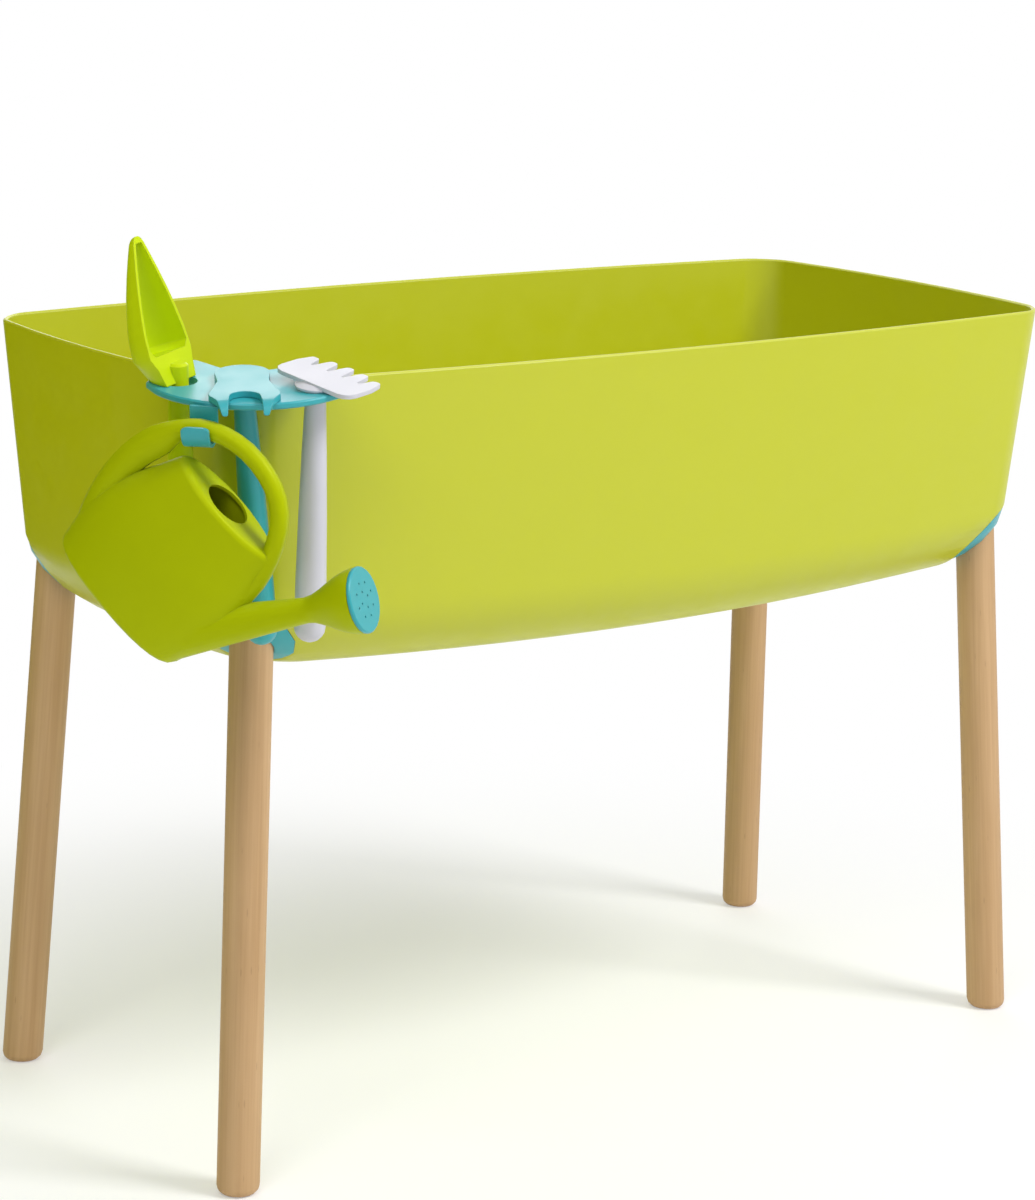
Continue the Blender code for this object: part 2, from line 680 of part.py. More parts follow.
def plate_outline():
    sagitta = PLATE_REACH - PLATE_TIP_REACH
    radius = (PLATE_SPAN**2 / 4 + sagitta**2) / (2 * sagitta)
    half_angle = math.asin(PLATE_SPAN / 2 / radius)
    centre = (PLATE_SHIFT, radius - PLATE_REACH)
    front = arc(centre, radius, -math.pi / 2 - half_angle, -math.pi / 2 + half_angle, PLATE_STEPS)
    cover = TROUGH_WALL + SLIDE_GAP + CLIP_WALL + CLIP_COVER
    back = [TO_HOLDER @ p for p in corner_strip(cover, RIM_HEIGHT, CORNER_RADIUS - cover)]
    corners = [(*front[0], TIP_FILLET)]
    corners += [(x, y, 0.0) for x, y in front[2:-2]]
    corners += [(*front[-1], TIP_FILLET)]
    corners += [(back[-1].x, back[-1].y, TIP_FILLET)]
    corners += [(p.x, p.y, 0.0) for p in reversed(back[1:-1])]
    corners += [(back[0].x, back[0].y, TIP_FILLET)]
    return filleted(corners)


def tool_frame(place):
    """Frame of a tool hole: 0 is the middle one, -1 and 1 the outer ones; Z is square to the plate."""
    reach = OUTER_HOLE_REACH if place else MIDDLE_HOLE_REACH
    pitch = TOOL_HOLE_PITCH[0] if place < 0 else TOOL_HOLE_PITCH[1]
    at = Vector((PLATE_SHIFT + place * pitch, -reach, PLATE_TOP))
    return HOLDER_FRAME @ Matrix.Translation(at)


def hook_shape():
    """A hook bent from a strap: X along the plate's span, the slot opens upwards."""
    slot = HOOK_SLOT / 2
    outer = slot + HOOK_THICKNESS
    floor_centre = PLATE_FOOT - HOOK_DEPTH + slot
    strap_top = PLATE_FOOT + PLATE_THICKNESS / 2
    lip_top = PLATE_FOOT - LIP_BELOW
    side = [(-outer, strap_top)]
    side += arc((0.0, floor_centre), outer, math.pi, math.tau, HOOK_STEPS)
    side += [(outer, lip_top), (slot, lip_top)]
    side += arc((0.0, floor_centre), slot, math.tau, math.pi, HOOK_STEPS)
    side += [(-slot, strap_top)]
    ends = []
    for x in (HOOK_ALONG - HOOK_WIDTH / 2, HOOK_ALONG + HOOK_WIDTH / 2):
        ends.append([(x, -HOOK_REACH - out, z) for out, z in side])
    shape = loft(ends)
    lip_edges = []
    for edge in shape.edges:
        a, b = (v.co for v in edge.verts)
        across = abs(a.x - b.x) < SAME < abs(a.y - b.y)
        if across and abs(a.z - lip_top) < SAME and abs(b.z - lip_top) < SAME:
            lip_edges.append(edge)
    bmesh.ops.bevel(shape, geom=lip_edges, offset=LIP_CORNER, segments=3, profile=0.5, affect="EDGES")
    bmesh.ops.recalc_face_normals(shape, faces=shape.faces)
    return shape


def build_holder(teal):
    plate = prism(plate_outline(), PLATE_FOOT, PLATE_TOP)
    rim = [e for e in plate.edges if abs(e.verts[0].co.z - e.verts[1].co.z) < SAME]
    bmesh.ops.bevel(plate, geom=rim, offset=PLATE_EDGE_ROUND, segments=1, affect="EDGES")
    holder = add_object("tool_holder", plate, HOLDER_FRAME, teal)
    inside = clip_wall(
        TROUGH_WALL + SLIDE_GAP,
        TROUGH_WALL + SLIDE_GAP + CLIP_WALL,
        RIM_HEIGHT - CLIP_DROP_INSIDE,
        RIM_HEIGHT + CLIP_RISE_INSIDE,
    )
    boolean(holder, "UNION", add_object("clip_inside", inside, HOLDER_FRAME))
    outside = clip_wall(
        -SLIDE_GAP - CLIP_WALL,
        -SLIDE_GAP,
        RIM_HEIGHT - CLIP_DROP_OUTSIDE,
        RIM_HEIGHT + CLIP_RISE_OUTSIDE,
    )
    boolean(holder, "UNION", add_object("clip_outside", outside, HOLDER_FRAME))
    boolean(holder, "UNION", add_object("hook_form", hook_shape(), HOLDER_FRAME))
    for place in (-1, 0, 1):
        hole = arc((0.0, 0.0), TOOL_HOLE_RADIUS, 0.0, math.tau, HANDLE_SIDES)[:-1]
        cutter = prism(hole, -2 * PLATE_THICKNESS, PLATE_THICKNESS)
        boolean(holder, "DIFFERENCE", add_object(f"tool_hole_{place + 1}", cutter, tool_frame(place)))


# Tools: each stands in its hole, with its origin at the plate's top and Z up its handle


def handle_shape(top):
    """A turned handle that swells from the neck down to a round end."""
    profile = [(0.0, top), (NECK_RADIUS - NECK_ROUND, top)]
    profile += [(NECK_RADIUS, top - NECK_ROUND), (NECK_RADIUS, -PLATE_THICKNESS)]
    for share in (0.25, 0.5, 0.75):
        swell = math.sin(share * math.pi / 2)
        profile.append((NECK_RADIUS + (HANDLE_RADIUS - NECK_RADIUS) * swell, -HANDLE_LENGTH * share))
    profile += arc((0.0, HANDLE_RADIUS - HANDLE_LENGTH), HANDLE_RADIUS, 0.0, -math.pi / 2, 5)[:-1]
    profile.append((0.0, -HANDLE_LENGTH))
    return turned(profile, HANDLE_SIDES)


def blade_section(along, half_width, depth, open_by=0.0):
    """Half an ellipse across the scoop at a distance along it, closed on its open side."""
    ring = []
    for i in range(BLADE_STEPS + 1):
        angle = math.pi * (i / BLADE_STEPS - 0.5)
        ring.append((-depth * math.cos(angle), half_width * math.sin(angle), along))
    ring += [(open_by, half_width, along), (open_by, -half_width, along)]
    return ring


def blade_size(share):
    """(half width, depth) of the scoop at a share of its length."""
    heel = min(1.0, BLADE_HEEL_SHARE + BLADE_HEEL_FLARE * share)
    narrowing = max(0.0, share - BLADE_WIDEST) / (1 - BLADE_WIDEST)
    taper = heel * (1 - (1 - BLADE_TIP_SHARE) * narrowing**BLADE_TAPER_POWER)
    into_tip = max(0.0, share - 1 + BLADE_TIP_ROUND) / BLADE_TIP_ROUND
    taper *= BLADE_TIP_LEFT + (1 - BLADE_TIP_LEFT) * math.sqrt(1 - into_tip**2)
    return BLADE_HALF_WIDTH * taper, BLADE_DEPTH * taper


def build_trowel(green):
    frame = tool_frame(-1) @ Matrix.Rotation(TROWEL_TURN, 4, "Z")
    lean = Matrix.Rotation(-TROWEL_CRANK, 4, "Y")
    heel_depth = blade_size(0.0)[1]
    foot = heel_depth * math.sin(TROWEL_CRANK) + SEAT_GAP
    blade_frame = frame @ Matrix.Translation((-BLADE_SET_BACK, 0.0, foot)) @ lean
    heel = []
    for x, y, _ in blade_section(0.0, *blade_size(0.0), open_by=BLADE_HEEL_FRONT):
        on_plate = (SEAT_GAP - foot - x * math.sin(TROWEL_CRANK)) / math.cos(TROWEL_CRANK)
        heel.append((x, y, on_plate))
    outside = [heel]
    for share in (0.05, 0.14, 0.3, 0.45, 0.6, 0.74, 0.86, 0.95, 0.975, 0.992, 1.0):
        front = max(BLADE_WALL / 4, BLADE_HEEL_FRONT * (1 - share / BLADE_WIDEST))
        outside.append(blade_section(share * BLADE_LENGTH, *blade_size(share), open_by=front))
    trowel = add_object("trowel", loft(outside), blade_frame, green)
    inside = []
    floor = BLADE_FLOOR / BLADE_LENGTH
    for share in (floor, floor + BLADE_FLOOR_ROUND, 0.3, 0.45, 0.6, 0.74, 0.86, 0.95):
        along = share * BLADE_LENGTH
        half_width, depth = blade_size(share)
        half_width -= BLADE_WALL
        depth -= BLADE_WALL
        if share == floor:
            half_width *= BLADE_FLOOR_SHARE
            depth *= BLADE_FLOOR_SHARE
        inside.append(blade_section(along, half_width, depth, open_by=BLADE_DEPTH))
    boolean(trowel, "DIFFERENCE", add_object("scoop", loft(inside), blade_frame))
    handle = add_object("trowel_handle_form", handle_shape(foot + BLADE_FLOOR / 2), frame)
    boolean(trowel, "UNION", handle)


def bent_down(shape, reach, radius, most):
    """Bends what lies past a reach along Y downwards round a radius, up to an angle."""
    for k in range(BEND_STEPS + 1):
        at = reach + radius * most * k / BEND_STEPS
        geom = shape.verts[:] + shape.edges[:] + shape.faces[:]
        bmesh.ops.bisect_plane(shape, geom=geom, plane_co=(0.0, at, 0.0), plane_no=(0.0, 1.0, 0.0))
    for vert in shape.verts:
        past = vert.co.y - reach
        if past <= 0.0:
            continue
        angle = min(past / radius, most)
        straight = max(0.0, past - radius * most)
        round_by = radius + vert.co.z
        vert.co.y = reach + round_by * math.sin(angle) + straight * math.cos(angle)
        vert.co.z = round_by * math.cos(angle) - radius - straight * math.sin(angle)


def build_cultivator(teal):
    frame = tool_frame(0) @ Matrix.Rotation(HOE_LEAN, 4, "Y")
    head_frame = tool_frame(0) @ Matrix.Rotation(math.pi - HOE_TURN, 4, "Z")
    head_frame = head_frame @ Matrix.Translation((0.0, 0.0, SEAT_GAP))
    blade = arc((0.0, HOE_BACK_RADIUS - HOE_BACK), HOE_BACK_RADIUS, math.pi, math.tau, 10)
    arch = arc((0.0, ARCH_REACH), ARCH_RADIUS, 0.0, -math.pi, ARCH_STEPS)
    tip_round = PRONG_TIP_RADIUS * 0.8
    corners = [(x, y, 0.0) for x, y in blade]
    corners += [(HOE_WAIST, 0.0, HOE_WAIST), (HOE_SHOULDER, HOE_SHOULDER_REACH, HOE_SHOULDER_FILLET)]
    corners += [(PRONG_SPREAD + PRONG_TIP_RADIUS, PRONG_REACH, tip_round)]
    corners += [(PRONG_SPREAD - PRONG_TIP_RADIUS, PRONG_REACH, tip_round)]
    corners += [(x, y, 0.0) for x, y in arch]
    corners += [(PRONG_TIP_RADIUS - PRONG_SPREAD, PRONG_REACH, tip_round)]
    corners += [(-PRONG_SPREAD - PRONG_TIP_RADIUS, PRONG_REACH, tip_round)]
    corners += [(-HOE_SHOULDER, HOE_SHOULDER_REACH, HOE_SHOULDER_FILLET), (-HOE_WAIST, 0.0, HOE_WAIST)]
    head = prism(filleted(corners), 0.0, HOE_THICKNESS)
    bent_down(head, BEND_REACH, BEND_RADIUS, BEND_ANGLE)
    cultivator = add_object("cultivator", head, head_frame, teal)
    handle = add_object("cultivator_handle_form", handle_shape(HOE_THICKNESS / 2), frame)
    boolean(cultivator, "UNION", handle)


def rake_outline():
    """The rake's head from above: X along the tines, Y across them."""
    pitch = (RAKE_WIDTH + TINE_GAP) / TINE_COUNT
    root = pitch - TINE_GAP
    corners = [(-RAKE_BACK, RAKE_WIDTH / 2, RAKE_CORNER), (-RAKE_BACK, -RAKE_WIDTH / 2, RAKE_CORNER)]
    for i in range(TINE_COUNT):
        middle = (i - (TINE_COUNT - 1) / 2) * pitch
        tip = root * TINE_TIP_SHARE / 2
        end = RAKE_PALM + TINE_LENGTH - TINE_ARC * (2 * middle / RAKE_WIDTH) ** 2
        corners += [(RAKE_PALM, middle - root / 2, 0.0), (end, middle - tip, tip * 0.9)]
        corners += [(end, middle + tip, tip * 0.9), (RAKE_PALM, middle + root / 2, 0.0)]
    return filleted(corners, steps=3)


def build_rake(white):
    frame = tool_frame(1) @ Matrix.Rotation(RAKE_TURN, 4, "Z") @ Matrix.Rotation(RAKE_LEAN, 4, "X")
    lift = Matrix.Translation((0.0, 0.0, RAKE_HEAD_LIFT))
    head_frame = frame @ lift @ Matrix.Rotation(RAKE_HEAD_TILT, 4, "X")
    rake = add_object("rake", prism(rake_outline(), 0.0, RAKE_THICKNESS), head_frame, white)
    collar_foot = COLLAR_RADIUS * math.sin(RAKE_LEAN) + SEAT_GAP
    collar = turned(
        [
            (0.0, RAKE_HEAD_LIFT + RAKE_THICKNESS / 2),
            (COLLAR_NECK_RADIUS, RAKE_HEAD_LIFT + RAKE_THICKNESS / 2),
            (COLLAR_RADIUS, collar_foot + RAKE_THICKNESS / 2),
            (COLLAR_RADIUS, collar_foot),
            (0.0, collar_foot),
        ],
        HANDLE_SIDES,
    )
    boolean(rake, "UNION", add_object("rake_collar", collar, frame))
    handle = add_object("rake_handle_form", handle_shape(collar_foot + RAKE_THICKNESS / 4), frame)
    boolean(rake, "UNION", handle)


# Watering can


def can_section(height, shrink):
    """Oval plan section of the can's body at a height, shrunk by a wall."""
    share = height / CAN_HEIGHT
    lean = share**CAN_LEAN_POWER
    swell = math.sin(math.pi * min(1.0, share / CAN_BELLY_END))
    back = CAN_TOP_START * lean - CAN_BELLY * swell
    front = CAN_LENGTH + (CAN_TOP_START + CAN_TOP_LENGTH - CAN_LENGTH) * lean + CAN_BELLY * swell
    half_width = CAN_HALF_WIDTH + (CAN_TOP_HALF_WIDTH - CAN_HALF_WIDTH) * share + CAN_BELLY_WIDTH * swell
    low = min(height, CAN_EDGE_ROUND)
    high = min(CAN_HEIGHT - height, CAN_EDGE_ROUND)
    drawn_in = CAN_EDGE_ROUND * 2
    for depth in (low, high):
        drawn_in -= math.sqrt(max(0.0, CAN_EDGE_ROUND**2 - (CAN_EDGE_ROUND - depth) ** 2))
    half_length = (front - back) / 2 - shrink - drawn_in
    half_width -= shrink + drawn_in
    fullness = CAN_FULLNESS + CAN_FULLNESS_GAIN * share
    ring = []
    for i in range(CAN_SIDES):
        angle = math.tau * i / CAN_SIDES
        x = math.copysign(abs(math.cos(angle)) ** fullness, math.cos(angle))
        y = math.copysign(abs(math.sin(angle)) ** fullness, math.sin(angle))
        ring.append(((back + front) / 2 + half_length * x, half_width * y))
    return ring


def can_body(shrink):
    edge = [CAN_EDGE_ROUND * share for share in (0.0, 0.12, 0.45, 1.0)]
    heights = edge + [CAN_HEIGHT * share for share in (0.2, 0.36, 0.52, 0.68, 0.82)]
    heights += [CAN_HEIGHT - rise for rise in reversed(edge)]
    squeeze = 1 - 2 * shrink / CAN_HEIGHT
    rings = []
    for height in heights:
        inner = shrink + height * squeeze
        rings.append([(x, y, inner) for x, y in can_section(height, shrink)])
    return loft(rings)


def grip_path():
    """(along, up, half thickness, half width) through the grip, from the body's back over to its front.

    A wide root grows out of the back of the body and narrows to a round grip before it meets the hook.
    """
    knots = [(x, CAN_HEIGHT * share, thick, wide) for x, share, thick, wide in GRIP_ROOT]
    knots.append((HOOKED_ALONG, CAN_HEIGHT + HOOKED_RISE, *GRIP_HOOKED))
    for share, rise in GRIP_ARCH:
        knots.append((CAN_LENGTH * share, CAN_HEIGHT + rise, GRIP_RADIUS, GRIP_RADIUS))
    path = [knots[0]]
    for i in range(1, len(knots)):
        here, there = knots[i - 1], knots[i]
        before, after = knots[max(0, i - 2)], knots[min(len(knots) - 1, i + 1)]
        middle = [(9 * (p + q) - o - r) / 16 for o, p, q, r in zip(before, here, there, after)]
        path += [tuple(middle), there]
    return path


def swept_tube(path, sides):
    """An oval tube of changing size along points in the XZ plane."""
    rings = []
    for i, (x, z, thick, wide) in enumerate(path):
        before = path[max(0, i - 1)]
        after = path[min(len(path) - 1, i + 1)]
        ahead = Vector((after[0] - before[0], 0.0, after[1] - before[1])).normalized()
        across = Vector((0.0, 1.0, 0.0))
        out = ahead.cross(across)
        ring = []
        for k in range(sides):
            angle = math.tau * (k + 0.5) / sides
            spoke = thick * math.cos(angle) * out + wide * math.sin(angle) * across
            ring.append(Vector((x, 0.0, z)) + spoke)
        rings.append(ring)
    return loft(rings)


def spout_radius(along):
    """Radius of the spout at a distance along it: a cone that flares to the rose."""
    if along <= SPOUT_NECK:
        share = (along - SPOUT_START) / (SPOUT_NECK - SPOUT_START)
        return SPOUT_ROOT_RADIUS + (SPOUT_NECK_RADIUS - SPOUT_ROOT_RADIUS) * share
    share = (along - SPOUT_NECK) / (SPOUT_END - SPOUT_NECK)
    flare = 0.5 - 0.5 * math.cos(math.pi * share**SPOUT_FLARE_POWER)
    return SPOUT_NECK_RADIUS + (ROSE_RADIUS - SPOUT_NECK_RADIUS) * flare


CONE_LENGTH = SPOUT_NECK - SPOUT_START
FLARE_LENGTH = SPOUT_END - SPOUT_NECK
SPOUT_STATIONS = [SPOUT_START + CONE_LENGTH * share for share in (0.0, 0.3, 0.6, 0.85, 1.0)]
SPOUT_STATIONS += [SPOUT_NECK + FLARE_LENGTH * share for share in (0.15, 0.33, 0.5, 0.67, 0.84, 1.0)]


def spout_frame():
    """Z along the spout, whose underside is a straight line up from the front of the base."""
    lean = Matrix.Rotation(math.pi / 2 - SPOUT_ANGLE, 4, "Y")
    start = SPOUT_LINE - spout_radius(SPOUT_START)
    drift = math.atan((SPOUT_ROOT_RADIUS - SPOUT_NECK_RADIUS) / (SPOUT_NECK - SPOUT_START))
    slide = Matrix.Translation((start, 0.0, SPOUT_START)) @ Matrix.Rotation(drift, 4, "Y")
    half_facet = Matrix.Rotation(math.pi / SPOUT_SIDES, 4, "Z")
    return lean @ slide @ Matrix.Translation((0.0, 0.0, -SPOUT_START)) @ half_facet


CAN_FRAME = (
    HOLDER_FRAME
    @ Matrix.Translation((HOOK_ALONG, -HOOK_REACH, PLATE_FOOT - HOOK_DEPTH + HANG_HEIGHT))
    @ Matrix.Rotation(-HOLDER_TILT, 4, "X")
    @ Matrix.Rotation(CAN_YAW, 4, "Z")
    @ Matrix.Rotation(CAN_PITCH, 4, "Y")
    @ Matrix.Translation((-HOOKED_ALONG, 0.0, -CAN_HEIGHT - HOOKED_RISE))
)


def build_can(green, teal):
    can = add_object("watering_can", can_body(0.0), CAN_FRAME, green)
    spout_at = CAN_FRAME @ spout_frame()
    outer = [(0.0, SPOUT_END)]
    outer += [(spout_radius(s), s) for s in reversed(SPOUT_STATIONS)]
    outer += [(0.0, SPOUT_START)]
    boolean(can, "UNION", add_object("spout_form", turned(outer, SPOUT_SIDES), spout_at))
    boolean(can, "UNION", add_object("grip_form", swept_tube(grip_path(), GRIP_SIDES), CAN_FRAME))
    boolean(can, "DIFFERENCE", add_object("can_inside", can_body(CAN_WALL), CAN_FRAME))
    inner = [(0.0, SPOUT_END + SPOUT_WALL), (ROSE_RADIUS - SPOUT_WALL, SPOUT_END + SPOUT_WALL)]
    inner += [(spout_radius(s) - SPOUT_WALL, s) for s in reversed(SPOUT_STATIONS[1:])]
    inner += [(0.0, SPOUT_STATIONS[1])]
    boolean(can, "DIFFERENCE", add_object("spout_bore", turned(inner, SPOUT_SIDES), spout_at))
    filler = turned(
        [
            (0.0, CAN_HEIGHT + CAN_WALL),
            (FILLER_RADIUS, CAN_HEIGHT + CAN_WALL),
            (FILLER_RADIUS, CAN_HEIGHT - 2 * CAN_WALL),
            (0.0, CAN_HEIGHT - 2 * CAN_WALL),
        ],
        SPOUT_SIDES,
    )
    filler_at = CAN_FRAME @ Matrix.Translation((FILLER_PLACE, 0.0, 0.0))
    boolean(can, "DIFFERENCE", add_object("filler_hole", filler, filler_at))
    join = can.modifiers.new("join points", "WELD")
    join.merge_threshold = SAME
    build_rose(teal, spout_at)


def build_rose(teal, spout_at):
    """A pierced cap with a short spigot that plugs into the flared end of the spout."""
    face = SPOUT_END + SEAT_GAP
    spigot_foot = SPOUT_END - ROSE_SPIGOT
    spigot = spout_radius(spigot_foot) - SPOUT_WALL - SLIDE_GAP
    cap = turned(
        [
            (0.0, face + ROSE_THICKNESS),
            (ROSE_RADIUS - ROSE_THICKNESS / 3, face + ROSE_THICKNESS),
            (ROSE_RADIUS, face + ROSE_THICKNESS * 2 / 3),
            (ROSE_RADIUS, face),
            (spigot, face),
            (spigot, spigot_foot),
            (spigot - SPOUT_WALL, spigot_foot),
            (spigot - SPOUT_WALL, face),
            (0.0, face),
        ],
        SPOUT_SIDES,
    )
    rose = add_object("rose", cap, spout_at, teal)
    holes = bmesh.new()
    turn = Matrix.Rotation(ROSE_HOLE_TURN, 4, "Z")
    for radius, count in ROSE_HOLES:
        for i in range(count):
            place = Matrix.Rotation(math.tau * i / count, 4, "Z") @ Matrix.Translation((radius, 0.0, face))
            bmesh.ops.create_cone(
                holes,
                cap_ends=True,
                segments=ROSE_HOLE_SIDES,
                radius1=ROSE_HOLE_RADIUS,
                radius2=ROSE_HOLE_RADIUS,
                depth=4 * ROSE_THICKNESS,
                matrix=turn @ place,
            )
    boolean(rose, "DIFFERENCE", add_object("rose_holes", holes, spout_at))


def centre_on_footprint():
    """Moves the whole object so that its box stands centred on the origin."""
    bpy.context.view_layer.update()
    graph = bpy.context.evaluated_depsgraph_get()
    points = []
    for part in PARTS.objects:
        if part.type == "MESH":
            done = part.evaluated_get(graph)
            points += [done.matrix_world @ v.co for v in done.data.vertices]
    low_x, high_x = min(p.x for p in points), max(p.x for p in points)
    low_y, high_y = min(p.y for p in points), max(p.y for p in points)
    ROOT.location = (-(low_x + high_x) / 2, -(low_y + high_y) / 2, -min(p.z for p in points))


def build():
    lime = material("lime_plastic", LIME)
    green = material("green_plastic", LEAF_GREEN)
    teal = material("teal_plastic", TEAL)
    white = material("white_plastic", WHITE)
    wood = material("beech", BEECH, roughness=0.6)
    steel = material("zinc_steel", STEEL, metallic=1.0)
    rubber = material("rubber", BLACK, roughness=0.7)
    build_trough(lime)
    for name, sides in CORNERS.items():
        build_corner(name, sides, teal, wood, steel, rubber)
    build_drain_plug(teal)
    build_holder(teal)
    build_trowel(green)
    build_cultivator(teal)
    build_rake(white)
    build_can(green, teal)
    centre_on_footprint()


build()
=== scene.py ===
# %% [markdown]
# # A children's grow table
#
# The object is a boat-shaped planter trough of lime plastic on four round wooden legs. A teal holder
# hooks over one corner of its rim. A trowel, a cultivator and a rake stand in the holder, and a small
# watering can hangs from it.
#
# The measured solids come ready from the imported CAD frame. This lesson gives them their looks: it sets
# up the camera, the floor and the light, builds the finishes out of shader nodes, and puts them on.

# %% Load the measured frame
import json
import math

import bmesh
import bpy
from mathutils import Matrix, Vector


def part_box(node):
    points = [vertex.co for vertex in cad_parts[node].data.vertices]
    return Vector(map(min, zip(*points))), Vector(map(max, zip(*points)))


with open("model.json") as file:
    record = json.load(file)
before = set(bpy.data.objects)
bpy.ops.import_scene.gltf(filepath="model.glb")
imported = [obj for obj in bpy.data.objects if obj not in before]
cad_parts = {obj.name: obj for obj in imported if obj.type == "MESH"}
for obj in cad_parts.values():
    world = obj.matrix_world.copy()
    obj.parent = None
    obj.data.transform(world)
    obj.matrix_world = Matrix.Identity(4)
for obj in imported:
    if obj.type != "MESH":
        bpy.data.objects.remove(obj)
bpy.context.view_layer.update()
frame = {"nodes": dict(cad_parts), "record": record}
nodes = frame["nodes"]

# %% [markdown]
# ## Camera
#
# A photograph fixes a camera by its place, its direction, its roll and its lens. We could aim a camera
# with a Track To constraint, but then the roll and the exact direction would be hidden in the
# constraint. Writing the three axes of the camera straight into its matrix keeps every number visible.

# %% Place the camera
IMAGE_HEIGHT = 1200
FOCAL_PIXELS = 3474.0
SENSOR_HEIGHT = 36.0
CAMERA_FROM_TROUGH = Vector((-1.54957, -2.07410, 0.94726))
CAMERA_LOOKS = Vector((0.58022, 0.78258, -0.22562)).normalized()
CAMERA_ROLL = math.radians(1.43)
CAMERA_SEES = 100.0


def trough_centre():
    """The middle of the trough, on the floor."""
    low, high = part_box("trough")
    return Vector(((low.x + high.x) / 2, (low.y + high.y) / 2, 0.0))


def place_camera():
    data = bpy.data.cameras.new("camera")
    data.sensor_fit = "VERTICAL"
    data.sensor_height = SENSOR_HEIGHT
    data.lens = FOCAL_PIXELS * SENSOR_HEIGHT / IMAGE_HEIGHT
    data.clip_end = CAMERA_SEES
    level_right = CAMERA_LOOKS.cross(Vector((0.0, 0.0, 1.0))).normalized()
    level_up = level_right.cross(CAMERA_LOOKS)
    right = level_right * math.cos(CAMERA_ROLL) + level_up * math.sin(CAMERA_ROLL)
    up = right.cross(CAMERA_LOOKS)
    axes = Matrix((right, up, -CAMERA_LOOKS)).transposed().to_4x4()
    camera = bpy.data.objects.new("camera", data)
    bpy.context.scene.collection.objects.link(camera)
    camera.matrix_world = Matrix.Translation(trough_centre() + CAMERA_FROM_TROUGH) @ axes
    bpy.context.scene.camera = camera
    return camera


camera = place_camera()
print("camera lens:", round(camera.data.lens, 1), "mm at", [round(v, 3) for v in camera.location])

# %% [markdown]
# ## A few words for node trees
#
# Shader trees get long when every node and every link takes its own line. These helpers keep them
# readable. `place` makes a node and fills in its sockets, where a value may be a number, a colour or the
# output of another node. `node_group` makes an empty group with named inputs and outputs, and the small
# ones after it stand for the nodes that come up again and again.

# %% Helpers for node trees
SOCKETS = {"value": "NodeSocketFloat", "colour": "NodeSocketColor", "vector": "NodeSocketVector"}


def fill(tree, socket, value):
    """Links the output of another node to a socket, or writes a number or a colour into it."""
    if isinstance(value, bpy.types.NodeSocket):
        tree.links.new(value, socket)
    else:
        socket.default_value = value


def place(tree, kind, settings=None, **values):
    """A node with its settings, and its sockets filled by name.

    Underscores stand for spaces, and n0, n1 and so on are sockets by their number.
    """
    node = tree.nodes.new(kind)
    for key, value in (settings or {}).items():
        setattr(node, key, value)
    for key, value in values.items():
        if key[0] == "n" and key[1:].isdigit():
            socket = node.inputs[int(key[1:])]
        else:
            name = key.replace("_", " ")
            socket = next(s for s in node.inputs if s.name == name and s.enabled)
        fill(tree, socket, value)
    return node


def node_group(name, inputs, outputs):
    """An empty shader group; inputs are {name: (kind, default)} and outputs are {name: kind}."""
    tree = bpy.data.node_groups.new(name, "ShaderNodeTree")
    for socket, (kind, start) in inputs.items():
        made = tree.interface.new_socket(socket, in_out="INPUT", socket_type=SOCKETS[kind])
        made.default_value = start
    for socket, kind in outputs.items():
        tree.interface.new_socket(socket, in_out="OUTPUT", socket_type=SOCKETS[kind])
    return tree, tree.nodes.new("NodeGroupInput"), tree.nodes.new("NodeGroupOutput")


def new_finish(name):
    """An empty material, its tree and its shader."""
    material = bpy.data.materials.new(name)
    material.use_nodes = True
    return material, material.node_tree, material.node_tree.nodes["Principled BSDF"]


def position(tree):
    return place(tree, "ShaderNodeTexCoord").outputs["Object"]


def noise(tree, where, scale, **values):
    return place(tree, "ShaderNodeTexNoise", None, Vector=where, Scale=scale, **values).outputs["Fac"]


def math_node(tree, operation, *values, clamp=False):
    node = place(tree, "ShaderNodeMath", {"operation": operation, "use_clamp": clamp})
    for socket, value in zip(node.inputs, values):
        fill(tree, socket, value)
    return node.outputs[0]


def vector_node(tree, operation, output="Vector", **values):
    return place(tree, "ShaderNodeVectorMath", {"operation": operation}, **values).outputs[output]


def ramp(tree, value, low, high):
    """Value from 0 at low to 1 at high, clamped."""
    node = place(tree, "ShaderNodeMapRange", None, Value=value, From_Min=low, From_Max=high)
    return node.outputs[0]


def between(tree, share, first, second):
    """A number between two others by a share."""
    node = place(tree, "ShaderNodeMapRange", None, Value=share, To_Min=first, To_Max=second)
    return node.outputs[0]


def mixed(tree, share, first, second):
    """Two colours mixed by a share."""
    node = place(tree, "ShaderNodeMix", {"data_type": "RGBA"}, n0=share, n6=first, n7=second)
    return node.outputs[2]


def seen_plainly(tree):
    """1 for what is seen directly, mirrored or through glass, 0 for light that only falls on things."""
    path = place(tree, "ShaderNodeLightPath").outputs
    mirrored = math_node(tree, "MAXIMUM", path["Is Camera Ray"], path["Is Glossy Ray"])
    return math_node(tree, "MAXIMUM", mirrored, path["Is Transmission Ray"])


print("helpers ready")

# %% [markdown]
# ## Floor and light
#
# The table is shown on a plain pale floor in soft studio light. The world lights the object with a soft
# grey only, but the camera and the reflections see it white. The floor fades into this white away from
# the table, so no horizon shows. Under the table it fades only a little and keeps the shadow.

# %% Build the floor
FLOOR_RADIUS = 40.0
FLOOR_SIDES = 96
FLOOR_COLOUR = (0.97, 0.97, 0.97)
FLOOR_ROUGHNESS = 0.85
FLOOR_SHINE = 0.1
FADE_STARTS = 0.25
FADE_ENDS = 0.95
FADE_LEAST = 0.30


